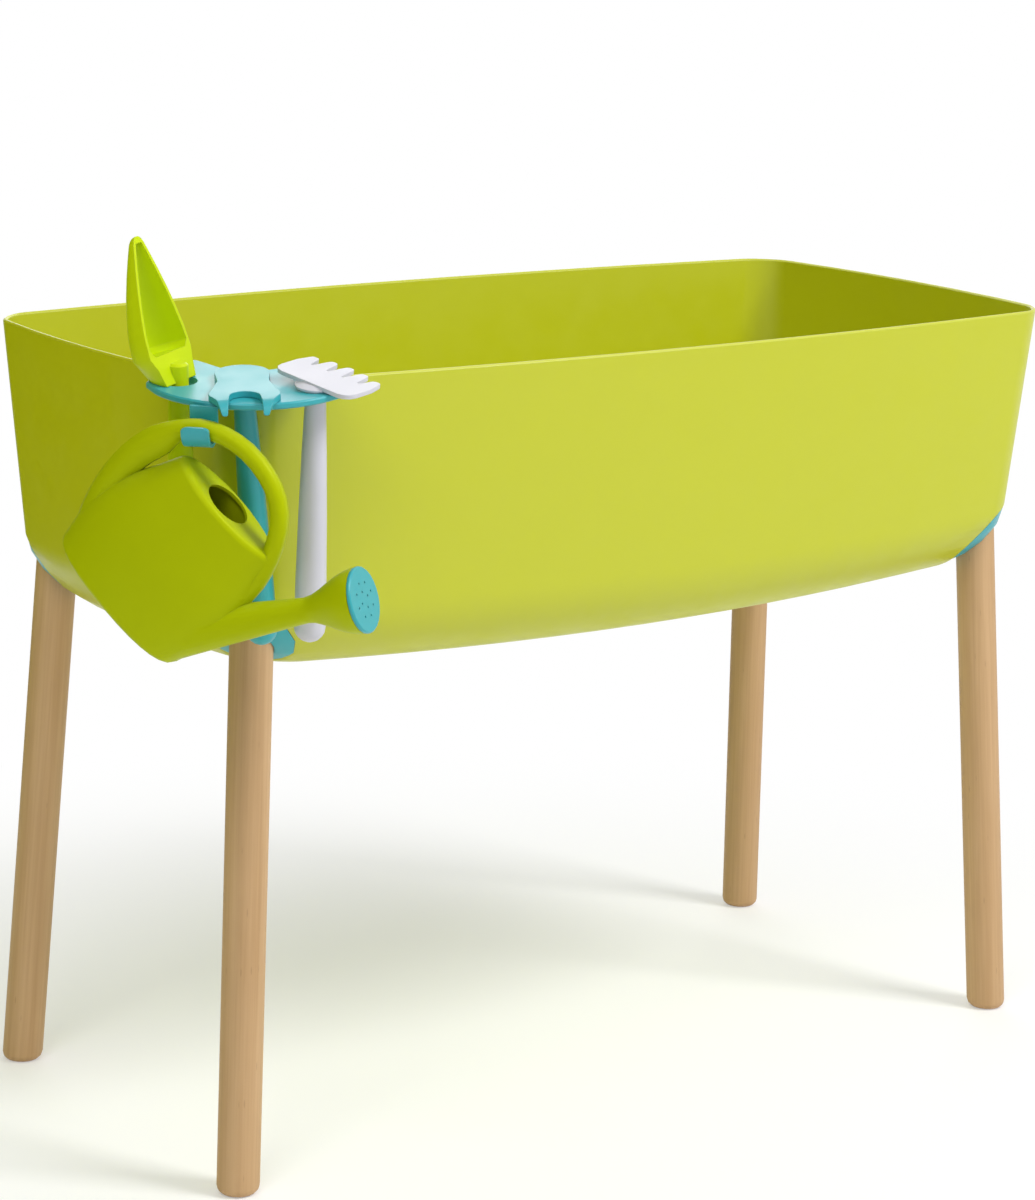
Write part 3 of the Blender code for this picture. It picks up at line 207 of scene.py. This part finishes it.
def paint_floor():
    paint, tree, shader = new_finish("floor_paint")
    shader.inputs["Base Color"].default_value = (*FLOOR_COLOUR, 1.0)
    shader.inputs["Roughness"].default_value = FLOOR_ROUGHNESS
    shader.inputs["Specular IOR Level"].default_value = FLOOR_SHINE
    away = vector_node(tree, "LENGTH", "Value", n0=position(tree))
    fade = place(
        tree, "ShaderNodeMapRange", {"interpolation_type": "SMOOTHSTEP"},
        Value=away, From_Min=FADE_STARTS, From_Max=FADE_ENDS, To_Min=FADE_LEAST,
    )
    share = math_node(tree, "MULTIPLY", fade.outputs[0], seen_plainly(tree))
    white = place(tree, "ShaderNodeEmission")
    mix = place(
        tree, "ShaderNodeMixShader", None, n0=share, n1=shader.outputs[0], n2=white.outputs[0]
    )
    tree.links.new(mix.outputs[0], tree.nodes["Material Output"].inputs["Surface"])
    return paint


def build_floor():
    disc = bmesh.new()
    bmesh.ops.create_circle(disc, cap_ends=True, radius=FLOOR_RADIUS, segments=FLOOR_SIDES)
    mesh = bpy.data.meshes.new("floor")
    disc.to_mesh(mesh)
    disc.free()
    mesh.materials.append(paint_floor())
    floor = bpy.data.objects.new("floor", mesh)
    bpy.context.scene.collection.objects.link(floor)
    return floor


floor = build_floor()
print("floor:", floor.name)

# %% Light the world
SHADE_LIGHT = 0.45
SHADE_COLOUR = (0.95, 0.98, 1.0, 1.0)
WHITE = (1.0, 1.0, 1.0, 1.0)


def build_world():
    world = bpy.data.worlds.new("studio")
    bpy.context.scene.world = world
    world.use_nodes = True
    tree = world.node_tree
    tree.nodes.clear()
    out = place(tree, "ShaderNodeOutputWorld")
    soft = place(tree, "ShaderNodeBackground", None, Color=SHADE_COLOUR, Strength=SHADE_LIGHT)
    white = place(tree, "ShaderNodeBackground", None, Color=WHITE, Strength=1.0)
    mix = place(
        tree, "ShaderNodeMixShader", None,
        n0=seen_plainly(tree), n1=soft.outputs[0], n2=white.outputs[0],
    )
    tree.links.new(mix.outputs[0], out.inputs["Surface"])
    bpy.context.scene.view_settings.view_transform = "Standard"
    return world


print("world:", build_world().name)

# %% [markdown]
# ## Lamps
#
# The key lamp stands high in front and to the right, and makes the long side brighter than the left end.
# A weaker lamp at the left opens the shade, and a wide lamp behind gives the upward faces and the rim
# their pale gleam. A single lamp would leave the left end and the can too dark.

# %% Hang the lamps
LAMPS = {
    # name: (place from the trough's middle, point it faces, width, height, watts)
    "key_lamp": ((1.4, -2.3, 3.2), (0.0, 0.0, 0.45), 1.2, 1.2, 98.0),
    "fill_lamp": ((-2.0, -1.4, 2.8), (-0.2, 0.0, 0.5), 1.2, 1.2, 24.0),
    "back_lamp": ((1.6, 2.4, 1.9), (0.0, 0.0, 0.55), 2.6, 1.4, 22.0),
}


def hang_lamp(name, spot, faces, width, height, watts):
    data = bpy.data.lights.new(name, "AREA")
    data.shape = "RECTANGLE"
    data.size = width
    data.size_y = height
    data.energy = watts
    lamp = bpy.data.objects.new(name, data)
    bpy.context.scene.collection.objects.link(lamp)
    centre = trough_centre()
    lamp.location = centre + Vector(spot)
    towards = centre + Vector(faces) - lamp.location
    lamp.rotation_euler = towards.to_track_quat("-Z", "Y").to_euler()
    return lamp


for lamp_name, settings in LAMPS.items():
    hang_lamp(lamp_name, *settings)
print("lamps:", ", ".join(LAMPS))

# %% [markdown]
# ## A green card
#
# The left end of the trough shows a deep, pure colour without any pale gleam, although the floor and the
# walls of the studio are white. Photographers get this with a card: a surface looks purest where it
# mirrors something of its own colour. Ours is a dull green and stands behind and to the left, where the
# left end would otherwise mirror the white floor. The camera does not see it.

# %% Stand the green card
CARD_PLACE = (-0.95, 0.65, 0.0)
CARD_WIDTH = 2.2
CARD_HEIGHT = 1.9
CARD_COLOUR = (0.30, 0.32, 0.01)


def card_felt():
    felt, _, shader = new_finish("card_felt")
    shader.inputs["Base Color"].default_value = (*CARD_COLOUR, 1.0)
    shader.inputs["Roughness"].default_value = 1.0
    shader.inputs["Specular IOR Level"].default_value = 0.0
    return felt


def stand_card():
    mesh = bpy.data.meshes.new("green_card")
    sheet = bmesh.new()
    bmesh.ops.create_grid(sheet, x_segments=1, y_segments=1, size=0.5)
    upright = Matrix.Rotation(math.pi / 2, 4, "X")
    stand = Matrix.Translation((0.0, 0.0, CARD_HEIGHT / 2)) @ upright
    sheet.transform(stand @ Matrix.Diagonal((CARD_WIDTH, CARD_HEIGHT, 1.0, 1.0)))
    sheet.to_mesh(mesh)
    sheet.free()
    mesh.materials.append(card_felt())
    card = bpy.data.objects.new("green_card", mesh)
    bpy.context.scene.collection.objects.link(card)
    card.location = trough_centre() + Vector(CARD_PLACE)
    low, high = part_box("trough")
    left_end = Vector((low.x, (low.y + high.y) / 2, 0.0))
    towards = left_end - card.location
    card.rotation_euler = (0.0, 0.0, math.atan2(towards.y, towards.x) + math.pi / 2)
    card.visible_camera = False
    return card


print("card:", stand_card().name)

# %% [markdown]
# ## Moulded skin
#
# Injection-moulded plastic is never quite even. The steel mould has a fine spark-eroded grain that breaks
# the gloss, and the plastic flows into it with faint clouds of colour. An image could show this, but
# noise in object space needs no unwrapping and has the same scale on every piece. All the plastics use
# it, so it is a group: it puts out a colour, a roughness and a height.

# %% Make the moulded skin group
CLOUD_SCALE = 7.0
SMEAR_SCALE = 38.0
SMEAR_FROM, SMEAR_TO = 0.35, 0.65
RIPPLE_SCALE = 24.0
RIPPLE_SHARE = 0.5
GREY = (0.5, 0.5, 0.5, 1.0)


def make_moulded_skin():
    tree, given, made = node_group(
        "moulded_skin",
        {
            "Colour": ("colour", GREY),
            "Cloud": ("value", 0.06),
            "Gloss Low": ("value", 0.3),
            "Gloss High": ("value", 0.4),
            "Grain Size": ("value", 900.0),
        },
        {"Colour": "colour", "Roughness": "value", "Height": "value"},
    )
    where = position(tree)
    cloud = noise(tree, where, CLOUD_SCALE, Detail=3.0, Roughness=0.55)
    swing = math_node(tree, "SUBTRACT", cloud, 0.5)
    shade = math_node(tree, "MULTIPLY_ADD", swing, given.outputs["Cloud"], 1.0)
    clouded = vector_node(tree, "SCALE", Vector=given.outputs["Colour"], Scale=shade)
    tree.links.new(clouded, made.inputs["Colour"])
    smear = noise(tree, where, SMEAR_SCALE, Detail=4.0, Roughness=0.6)
    rough = place(
        tree, "ShaderNodeMapRange", None, Value=smear, From_Min=SMEAR_FROM, From_Max=SMEAR_TO,
        To_Min=given.outputs["Gloss Low"], To_Max=given.outputs["Gloss High"],
    )
    tree.links.new(rough.outputs[0], made.inputs["Roughness"])
    grain = noise(tree, where, given.outputs["Grain Size"], Detail=1.0)
    ripple = noise(tree, where, RIPPLE_SCALE, Detail=1.0)
    swell = math_node(tree, "MULTIPLY", ripple, RIPPLE_SHARE)
    tree.links.new(math_node(tree, "ADD", grain, swell), made.inputs["Height"])
    return tree


moulded_skin = make_moulded_skin()
print("group:", moulded_skin.name, [s.name for s in moulded_skin.interface.items_tree])

# %% [markdown]
# ## Settled dust
#
# A planter stands outside or by a window, so a little dust lies on the faces that look up. The group
# compares the surface normal with the vertical and breaks the edge of the mask with noise, so the dust
# looks sprinkled rather than painted.

# %% Make the dust group
DUST_COLOUR = (0.62, 0.60, 0.55, 1.0)
DUST_ROUGHNESS = 0.8
DUST_SCALE = 120.0
LOOKS_UP_FROM, LOOKS_UP_TO = 0.55, 0.98
SPECKLE_FROM, SPECKLE_TO = 0.38, 0.66


def make_dust():
    tree, given, made = node_group(
        "settled_dust",
        {
            "Colour": ("colour", GREY),
            "Roughness": ("value", 0.4),
            "Dust Colour": ("colour", DUST_COLOUR),
            "Amount": ("value", 0.12),
        },
        {"Colour": "colour", "Roughness": "value"},
    )
    normal = place(tree, "ShaderNodeNewGeometry").outputs["Normal"]
    upward = place(tree, "ShaderNodeSeparateXYZ", None, Vector=normal).outputs["Z"]
    facing = ramp(tree, upward, LOOKS_UP_FROM, LOOKS_UP_TO)
    speckle = noise(tree, position(tree), DUST_SCALE, Detail=6.0, Roughness=0.7)
    lying = math_node(tree, "MULTIPLY", facing, ramp(tree, speckle, SPECKLE_FROM, SPECKLE_TO))
    share = math_node(tree, "MULTIPLY", lying, given.outputs["Amount"], clamp=True)
    dusty = mixed(tree, share, given.outputs["Colour"], given.outputs["Dust Colour"])
    tree.links.new(dusty, made.inputs["Colour"])
    rough = between(tree, share, given.outputs["Roughness"], DUST_ROUGHNESS)
    tree.links.new(rough, made.inputs["Roughness"])
    return tree


settled_dust = make_dust()
print("group:", settled_dust.name)

# %% [markdown]
# ## Rubbed edges and painted edge highlights
#
# Handling polishes the edges of plastic and makes them a little paler. The edge colour also carries a
# painted highlight: it is paler than wear alone would make it, and stands in for the thin bright gleam
# that light lays along rims and edges. To find the edges, the group asks for the normal of an imaginary
# rounded edge with the Bevel node and compares it with the real one: where the two differ, there is an
# edge. The rounded normal is put out as well, because a moulded edge is never razor sharp.

# %% Make the rubbed edge and painted edge highlight group
EDGE_SAMPLES = 6
EDGE_FROM, EDGE_TO = 0.995, 0.86
PATCH_SCALE = 60.0
PATCH_FROM, PATCH_TO = 0.3, 0.6


def make_rubbed_edge_and_highlight():
    tree, given, made = node_group(
        "rubbed_edge_and_highlight",
        {
            "Colour": ("colour", GREY),
            # The edge colour is partly rubbed wear and partly a painted highlight along edges.
            "Edge Colour": ("colour", (0.8, 0.8, 0.8, 1.0)),
            "Amount": ("value", 0.3),
            "Edge Radius": ("value", 0.0008),
        },
        {"Colour": "colour", "Normal": "vector"},
    )
    bevel = place(
        tree, "ShaderNodeBevel", {"samples": EDGE_SAMPLES}, Radius=given.outputs["Edge Radius"]
    )
    rounded = bevel.outputs[0]
    real = place(tree, "ShaderNodeNewGeometry").outputs["Normal"]
    agree = vector_node(tree, "DOT_PRODUCT", "Value", n0=rounded, n1=real)
    edge = ramp(tree, agree, EDGE_FROM, EDGE_TO)
    patchy = noise(tree, position(tree), PATCH_SCALE, Detail=3.0)
    worn_and_highlit = math_node(tree, "MULTIPLY", edge, ramp(tree, patchy, PATCH_FROM, PATCH_TO))
    share = math_node(tree, "MULTIPLY", worn_and_highlit, given.outputs["Amount"], clamp=True)
    # Mixes in the edge colour: rubbed wear together with a painted edge highlight.
    rubbed_and_highlit = mixed(tree, share, given.outputs["Colour"], given.outputs["Edge Colour"])
    tree.links.new(rubbed_and_highlit, made.inputs["Colour"])
    tree.links.new(rounded, made.inputs["Normal"])
    return tree


rubbed_edge_and_highlight = make_rubbed_edge_and_highlight()
print("group:", rubbed_edge_and_highlight.name)

# %% [markdown]
# ## The plastics
#
# The trough is lime, the can and the trowel are two fresh greens, the holder, the sockets and the
# cultivator are teal, and the rake is a cool white. They are the same kind of plastic with the same mould
# grain, so one function strings the three groups together and only the values change.

# %% Make the plastics
# Each plastic's edge colour is partly rubbed wear and partly a painted highlight along rims and edges.
PLASTICS = {
    "lime_plastic": {
        "colour": (0.50, 0.525, 0.001), "edge": (0.60, 0.58, 0.44), "gleam": (1.0, 1.0, 1.0),
        "shine": 0.70, "gloss": (0.36, 0.46), "cloud": 0.03, "grain": 0.08,
    },
    "green_plastic": {
        "colour": (0.41, 0.48, 0.002), "edge": (0.62, 0.70, 0.08), "gleam": (1.0, 1.0, 0.10),
        "shine": 0.20, "gloss": (0.34, 0.44), "cloud": 0.03, "grain": 0.08,
    },
    "trowel_plastic": {
        "colour": (0.56, 0.69, 0.004), "edge": (0.66, 0.76, 0.14), "gleam": (1.0, 1.0, 0.30),
        "shine": 0.25, "gloss": (0.34, 0.44), "cloud": 0.03, "grain": 0.08,
    },
    "teal_plastic": {
        "colour": (0.030, 0.365, 0.41), "edge": (0.24, 0.60, 0.66), "gleam": (1.0, 1.0, 1.0),
        "shine": 0.45, "gloss": (0.28, 0.36), "cloud": 0.04, "grain": 0.05,
    },
    "white_plastic": {
        "colour": (0.60, 0.59, 0.66), "edge": (0.90, 0.90, 0.93), "gleam": (1.0, 1.0, 1.0),
        "shine": 0.50, "gloss": (0.28, 0.38), "cloud": 0.03, "grain": 0.05,
    },
}
PLASTIC_DUST = 0.03
GRAIN_DISTANCE = 0.0003


def make_plastic(name, colour, edge, gleam, shine, gloss, cloud, grain):
    material, tree, shader = new_finish(name + "_finish")
    skin = place(
        tree, "ShaderNodeGroup", {"node_tree": moulded_skin},
        Colour=(*colour, 1.0), Cloud=cloud, Gloss_Low=gloss[0], Gloss_High=gloss[1],
    )
    # Edges get rubbed wear and a painted highlight.
    worn_and_highlit = place(
        tree, "ShaderNodeGroup", {"node_tree": rubbed_edge_and_highlight},
        Colour=skin.outputs["Colour"], Edge_Colour=(*edge, 1.0),
    )
    lying = place(
        tree, "ShaderNodeGroup", {"node_tree": settled_dust},
        Colour=worn_and_highlit.outputs["Colour"], Roughness=skin.outputs["Roughness"], Amount=PLASTIC_DUST,
    )
    bump = place(
        tree, "ShaderNodeBump", None, Strength=grain, Distance=GRAIN_DISTANCE,
        Height=skin.outputs["Height"], Normal=worn_and_highlit.outputs["Normal"],
    )
    tree.links.new(lying.outputs["Colour"], shader.inputs["Base Color"])
    tree.links.new(lying.outputs["Roughness"], shader.inputs["Roughness"])
    tree.links.new(bump.outputs["Normal"], shader.inputs["Normal"])
    shader.inputs["Specular Tint"].default_value = (*gleam, 1.0)
    shader.inputs["Specular IOR Level"].default_value = shine
    return material


finishes = {name: make_plastic(name, **values) for name, values in PLASTICS.items()}
print("plastics:", ", ".join(finishes))

# %% [markdown]
# ## Beech
#
# The legs are turned from pale beech. Beech has a quiet, straight grain along the leg and many tiny dark
# dashes, the ends of its rays. Grain has to follow each leg, and the legs lean, so the group first splits
# the position into a part along the leg's axis and a part across it, and squeezes the part along. The
# same noise then draws long fibres without any unwrapping.

# %% Make the beech group
BEECH_LIGHT = (0.60, 0.388, 0.205, 1.0)
BEECH_DARK = (0.475, 0.288, 0.135, 1.0)
BEECH_FLECK = (0.22, 0.12, 0.05, 1.0)
BEECH_SMOOTH, BEECH_ROUGH = 0.48, 0.62
BEECH_LAYERS = {
    # name: (share kept along the leg, scale, detail, distortion, starts at, ends at, weight)
    "fibres": (0.02, 520.0, 3.0, 0.0, 0.35, 0.70, 0.35),
    "bands": (0.03, 85.0, 3.0, 0.4, 0.32, 0.68, 0.55),
    "patches": (0.25, 22.0, 2.0, 0.0, 0.35, 0.65, 0.30),
}
DASH_KEPT_ALONG = 0.16
DASH_SCALE = 330.0
DASH_FROM, DASH_TO = 0.20, 0.08
CHOSEN_FROM, CHOSEN_TO = 0.80, 0.88
DASH_DEPTH = 0.28


def make_beech_grain():
    tree, given, made = node_group(
        "beech_grain",
        {
            "Axis": ("vector", (0.0, 0.0, 1.0)),
            "Shift": ("vector", (0.0, 0.0, 0.0)),
            "Light": ("colour", BEECH_LIGHT),
            "Dark": ("colour", BEECH_DARK),
            "Fleck": ("colour", BEECH_FLECK),
        },
        {"Colour": "colour", "Roughness": "value", "Height": "value"},
    )
    axis = given.outputs["Axis"]
    moved = vector_node(tree, "ADD", n0=position(tree), n1=given.outputs["Shift"])
    along = vector_node(tree, "DOT_PRODUCT", "Value", n0=moved, n1=axis)

    def squeezed(kept):
        """The position with its part along the leg scaled."""
        less = math_node(tree, "MULTIPLY", along, kept - 1.0)
        back = vector_node(tree, "SCALE", Vector=axis, Scale=less)
        return vector_node(tree, "ADD", n0=moved, n1=back)

    patterns = {}
    weighted = {}
    for name, (kept, scale, detail, distortion, start, end, weight) in BEECH_LAYERS.items():
        pattern = noise(tree, squeezed(kept), scale, Detail=detail, Distortion=distortion)
        patterns[name] = pattern
        weighted[name] = math_node(tree, "MULTIPLY", ramp(tree, pattern, start, end), weight)
    most = math_node(tree, "ADD", weighted["fibres"], weighted["bands"])
    share = math_node(tree, "ADD", most, weighted["patches"], clamp=True)
    wood = mixed(tree, share, given.outputs["Light"], given.outputs["Dark"])

    dash = place(
        tree, "ShaderNodeTexVoronoi", None,
        Vector=squeezed(DASH_KEPT_ALONG), Scale=DASH_SCALE, Randomness=1.0,
    )
    near = ramp(tree, dash.outputs["Distance"], DASH_FROM, DASH_TO)
    draw = place(tree, "ShaderNodeSeparateColor", None, Color=dash.outputs["Color"]).outputs[0]
    few = math_node(tree, "MULTIPLY", near, ramp(tree, draw, CHOSEN_FROM, CHOSEN_TO))
    fleck = math_node(tree, "MULTIPLY", few, DASH_DEPTH)
    tree.links.new(mixed(tree, fleck, wood, given.outputs["Fleck"]), made.inputs["Colour"])
    tree.links.new(between(tree, share, BEECH_SMOOTH, BEECH_ROUGH), made.inputs["Roughness"])
    height = math_node(tree, "SUBTRACT", patterns["fibres"], fleck)
    tree.links.new(height, made.inputs["Height"])
    return tree


beech_grain = make_beech_grain()
print("group:", beech_grain.name)

# %% Make a beech for each leg
CORNERS = ("front_left", "front_right", "back_left", "back_right")
GRAIN_SHIFT = Vector((0.37, 0.21, 0.53))
LEG_END = 0.003
LEG_EDGE = 0.0010
BEECH_SHINE = 0.35
FIBRE_STRENGTH = 0.25
FIBRE_DISTANCE = 0.0002


def leg_axis(node):
    """Direction of a leg, from the middle of its sole to the middle of its top."""
    points = [v.co for v in nodes[node].data.vertices]
    low, high = min(p.z for p in points), max(p.z for p in points)
    ends = []
    for height in (low, high):
        ring = [p for p in points if abs(p.z - height) < LEG_END]
        ends.append(sum(ring, Vector()) / len(ring))
    return (ends[1] - ends[0]).normalized()


def make_beech(corner, turn):
    material, tree, shader = new_finish("beech_" + corner)
    grain = place(
        tree, "ShaderNodeGroup", {"node_tree": beech_grain},
        Axis=leg_axis("leg_" + corner), Shift=GRAIN_SHIFT * turn,
    )
    rounded = place(tree, "ShaderNodeBevel", {"samples": EDGE_SAMPLES}, Radius=LEG_EDGE)
    bump = place(
        tree, "ShaderNodeBump", None, Strength=FIBRE_STRENGTH, Distance=FIBRE_DISTANCE,
        Height=grain.outputs["Height"], Normal=rounded.outputs[0],
    )
    tree.links.new(grain.outputs["Colour"], shader.inputs["Base Color"])
    tree.links.new(grain.outputs["Roughness"], shader.inputs["Roughness"])
    tree.links.new(bump.outputs["Normal"], shader.inputs["Normal"])
    shader.inputs["Specular IOR Level"].default_value = BEECH_SHINE
    return material


for turn, corner in enumerate(CORNERS, start=1):
    finishes["beech_" + corner] = make_beech(corner, turn)
print("beech for:", ", ".join(CORNERS))

# %% [markdown]
# ## Zinc and rubber
#
# Four screws and four rubber seals hold the legs. Zinc plating is a soft grey metal with crystals that
# catch the light differently, which a Voronoi texture imitates in the roughness. Rubber is nearly black
# and matt, with a bloom that makes it a little greyer in places.

# %% Make the metal and the rubber
ZINC_DARK = (0.50, 0.51, 0.53, 1.0)
ZINC_LIGHT = (0.62, 0.62, 0.62, 1.0)
ZINC_SMOOTH, ZINC_ROUGH = 0.26, 0.46
ZINC_SCALE = 900.0
ZINC_EDGE = 0.0003
ZINC_EDGE_SAMPLES = 4
RUBBER_DARK = (0.012, 0.012, 0.012, 1.0)
RUBBER_BLOOM = (0.035, 0.035, 0.034, 1.0)
RUBBER_SMOOTH, RUBBER_ROUGH = 0.62, 0.82
RUBBER_SCALE = 300.0


def make_zinc():
    material, tree, shader = new_finish("zinc_steel_finish")
    shader.inputs["Metallic"].default_value = 1.0
    crystal = place(tree, "ShaderNodeTexVoronoi", None, Vector=position(tree), Scale=ZINC_SCALE)
    facet = place(tree, "ShaderNodeSeparateColor", None, Color=crystal.outputs["Color"]).outputs[0]
    tree.links.new(mixed(tree, facet, ZINC_DARK, ZINC_LIGHT), shader.inputs["Base Color"])
    tree.links.new(between(tree, facet, ZINC_SMOOTH, ZINC_ROUGH), shader.inputs["Roughness"])
    rounded = place(tree, "ShaderNodeBevel", {"samples": ZINC_EDGE_SAMPLES}, Radius=ZINC_EDGE)
    tree.links.new(rounded.outputs[0], shader.inputs["Normal"])
    return material


def make_rubber():
    material, tree, shader = new_finish("rubber_finish")
    bloom = noise(tree, position(tree), RUBBER_SCALE, Detail=4.0)
    tree.links.new(mixed(tree, bloom, RUBBER_DARK, RUBBER_BLOOM), shader.inputs["Base Color"])
    tree.links.new(between(tree, bloom, RUBBER_SMOOTH, RUBBER_ROUGH), shader.inputs["Roughness"])
    return material


finishes["zinc_steel"] = make_zinc()
finishes["rubber"] = make_rubber()
print("finishes:", len(finishes))

# %% [markdown]
# ## Dress the solids
#
# The solids arrive as triangles. A Weld modifier joins points that lie in one place, so that smooth
# shading can run across them. An Edge Split modifier then keeps the corners above an angle sharp, and a
# Weighted Normal modifier lets the large faces decide the shading, or flat plates with round corners
# would look like pillows. All three leave the solid's own points as they are.

# %% Put the finishes on
SHARP_ANGLE = math.radians(38.0)
WELD_DISTANCE = 1e-5
FLAT_WEIGHT = 80


def finish_of(node, slot):
    """The finish of a piece: each leg has its own beech, and the trowel its own green."""
    if slot == "beech":
        return finishes["beech_" + node[len("leg_"):]]
    return finishes.get(node + "_plastic", finishes[slot])


for part in frame["record"]["subparts"]:
    solid = nodes[part["node"]]
    solid.data.materials.clear()
    solid.data.materials.append(finish_of(part["node"], part["material_slot"]))
    solid.data.shade_smooth()
    weld = solid.modifiers.new("weld", "WELD")
    weld.merge_threshold = WELD_DISTANCE
    corners = solid.modifiers.new("sharp_corners", "EDGE_SPLIT")
    corners.split_angle = SHARP_ANGLE
    corners.use_edge_sharp = False
    flats = solid.modifiers.new("flat_faces", "WEIGHTED_NORMAL")
    flats.mode = "FACE_AREA"
    flats.weight = FLAT_WEIGHT
